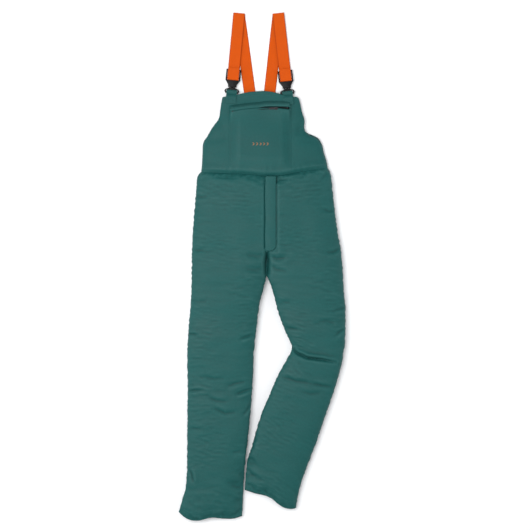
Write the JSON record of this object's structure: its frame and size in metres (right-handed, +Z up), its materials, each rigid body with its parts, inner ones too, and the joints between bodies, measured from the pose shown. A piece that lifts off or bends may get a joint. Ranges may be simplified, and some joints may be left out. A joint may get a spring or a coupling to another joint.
{
  "type": "chainsaw bib trousers",
  "caption": "Padded bib-and-brace trousers for chainsaw work: lined legs with cut pads, a zipped bib pocket, a fly under a flap, and orange elastic braces with quick-release buckles.",
  "frame": {"origin": "middle of the garment's outline seen from above, on the surface it lies on", "axes": "+X to the wearer's left, +Y from the hems towards the braces, +Z up out of the chest, away from the surface"},
  "size_m": [0.571, 1.7358, 0.0556],
  "materials": {
    "outer_fabric": "dense green polyester canvas with a faint satin sheen",
    "lining_fabric": "smooth dark polyester lining",
    "cut_pad_fibre": "loose white cut-stopping fibre layers",
    "orange_webbing": "ribbed orange elastic webbing",
    "buckle_plastic": "moulded black nylon, finely grained",
    "zip_tape": "woven dark green tape",
    "zip_coil": "dark nylon coil",
    "zip_metal": "dark enamelled die-cast metal",
    "elastic": "black woven elastic",
    "green_thread": "dark green stitching",
    "orange_thread": "orange embroidery thread"
  },
  "bodies": {
    "garment": {"back_facing": "lining_fabric", "back_panel_left": "outer_fabric", "back_panel_right": "outer_fabric", "back_side_left": "outer_fabric", "back_side_right": "outer_fabric", "bartacks": "green_thread", "bib_back": "outer_fabric", "bib_facing": "lining_fabric", "bib_front": "outer_fabric", "bib_pocket": "outer_fabric", "buckle_plug_left": "buckle_plastic", "buckle_plug_right": "buckle_plastic", "cut_pad_left": "cut_pad_fibre", "cut_pad_right": "cut_pad_fibre", "emblem": "orange_thread", "fly_zip_coil": "zip_coil", "fly_zip_stops": "zip_metal", "fly_zip_tapes": "zip_tape", "front_panel_left": "outer_fabric", "front_panel_right": "outer_fabric", "hem_band_left": "outer_fabric", "hem_band_right": "outer_fabric", "lining_back_left": "lining_fabric", "lining_back_right": "lining_fabric", "lining_front_left": "lining_fabric", "lining_front_right": "lining_fabric", "pocket_zip_coil": "zip_coil", "pocket_zip_stops": "zip_metal", "pocket_zip_tapes": "zip_tape", "strap_anchor": "outer_fabric", "strap_rear_left": "orange_webbing", "strap_rear_right": "orange_webbing", "tab_left": "outer_fabric", "tab_right": "outer_fabric", "waist_elastic": "elastic", "waist_tape": "zip_tape"},
    "brace_right": {"buckle_housing_right": "buckle_plastic", "strap_front_right": "orange_webbing"},
    "buckle_arm_outer_right": {"buckle_arm_outer_right": "buckle_plastic"},
    "buckle_arm_inner_right": {"buckle_arm_inner_right": "buckle_plastic"},
    "brace_left": {"buckle_housing_left": "buckle_plastic", "strap_front_left": "orange_webbing"},
    "buckle_arm_outer_left": {"buckle_arm_outer_left": "buckle_plastic"},
    "buckle_arm_inner_left": {"buckle_arm_inner_left": "buckle_plastic"},
    "pocket_slider": {"pocket_zip_slider": "zip_metal"},
    "pocket_pull": {"pocket_zip_pull": "zip_metal"},
    "fly_slider": {"fly_zip_slider": "zip_metal", "fly_zip_pull": "zip_metal"},
    "fly_flap": {"fly_flap": "outer_fabric"}
  },
  "joints": [
    {"name": "buckle_release_right", "type": "slide", "parent": "garment", "child": "brace_right", "axis": [0.0933, 0.9956, 0], "range_m": [0, 0.026]},
    {"name": "buckle_arm_outer_right_flex", "type": "hinge", "parent": "garment", "child": "buckle_arm_outer_right", "pos_m": [-0.11383, 0.60947, 0.008], "axis": [0, 0, 1], "range_deg": [-13, 0]},
    {"name": "buckle_arm_inner_right_flex", "type": "hinge", "parent": "garment", "child": "buckle_arm_inner_right", "pos_m": [-0.09869, 0.60805, 0.008], "axis": [0, 0, 1], "range_deg": [0, 13]},
    {"name": "buckle_release_left", "type": "slide", "parent": "garment", "child": "brace_left", "axis": [-0.1133, 0.9936, 0], "range_m": [0, 0.026]},
    {"name": "buckle_arm_outer_left_flex", "type": "hinge", "parent": "garment", "child": "buckle_arm_outer_left", "pos_m": [0.08911, 0.60569, 0.008], "axis": [0, 0, 1], "range_deg": [0, 13]},
    {"name": "buckle_arm_inner_left_flex", "type": "hinge", "parent": "garment", "child": "buckle_arm_inner_left", "pos_m": [0.07401, 0.60396, 0.008], "axis": [0, 0, 1], "range_deg": [-13, 0]},
    {"name": "pocket_zip_run", "type": "slide", "parent": "garment", "child": "pocket_slider", "axis": [0.9983, 0.0573, -0.0057], "range_m": [-0.1403, 0.0313]},
    {"name": "pocket_pull_flip", "type": "hinge", "parent": "pocket_slider", "child": "pocket_pull", "pos_m": [0.04373, 0.53508, 0.0384], "axis": [-0.0576, 0.9934, -0.099], "range_deg": [0, 150]},
    {"name": "fly_zip_run", "type": "slide", "parent": "garment", "child": "fly_slider", "axis": [0, -1, 0], "range_m": [0, 0.2046]},
    {"name": "fly_flap_lift", "type": "hinge", "parent": "garment", "child": "fly_flap", "pos_m": [0.04382, 0.17611, 0.05096], "axis": [0, 1, 0], "range_deg": [0, 150]}
  ],
  "couplings": [
    {"joint": "buckle_arm_outer_right_flex", "follows": "buckle_release_right", "rad_per_m": -8.7266},
    {"joint": "buckle_arm_inner_right_flex", "follows": "buckle_release_right", "rad_per_m": 8.7266},
    {"joint": "buckle_arm_outer_left_flex", "follows": "buckle_release_left", "rad_per_m": 8.7266},
    {"joint": "buckle_arm_inner_left_flex", "follows": "buckle_release_left", "rad_per_m": -8.7266}
  ]
}
